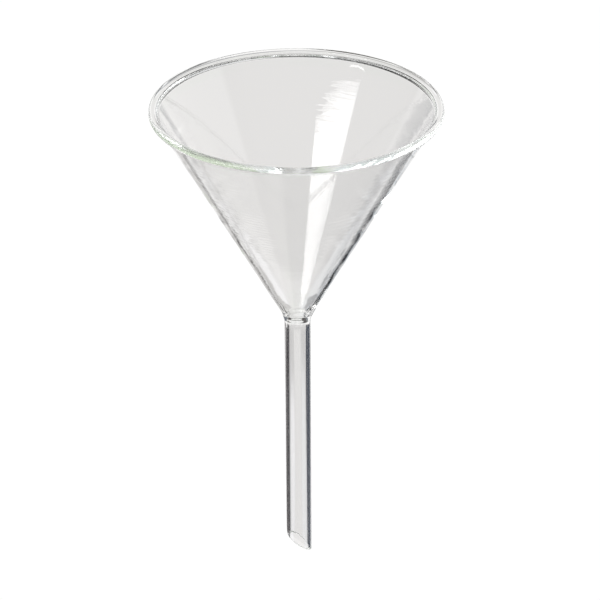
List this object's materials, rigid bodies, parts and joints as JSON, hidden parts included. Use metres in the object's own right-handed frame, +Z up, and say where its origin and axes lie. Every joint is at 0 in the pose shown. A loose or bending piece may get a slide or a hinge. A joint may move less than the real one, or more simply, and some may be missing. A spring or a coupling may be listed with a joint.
{
  "type": "filter funnel",
  "caption": "Clear glass filter funnel: cone of about 58 degrees with a rolled rim bead, a flame-sealed neck and a long straight stem that ends in a slanted drip tip.",
  "frame": {"origin": "on the axis, at the top of the straight stem, where the fillet under the cone ends", "axes": "+Z up through the mouth along the axis, -Z down the stem; the short side of the slanted drip tip faces -X and its plane is parallel to Y"},
  "size_m": [0.1, 0.1, 0.1726],
  "materials": {
    "clear_glass": "clear polished borosilicate glass",
    "edge_glass": "clear fire-polished borosilicate glass, faintly green where it is thick"
  },
  "bodies": {
    "root": {"rim_bead": "edge_glass", "cone_wall": "clear_glass", "neck_seal": "edge_glass", "stem_tube": "clear_glass"}
  },
  "joints": []
}
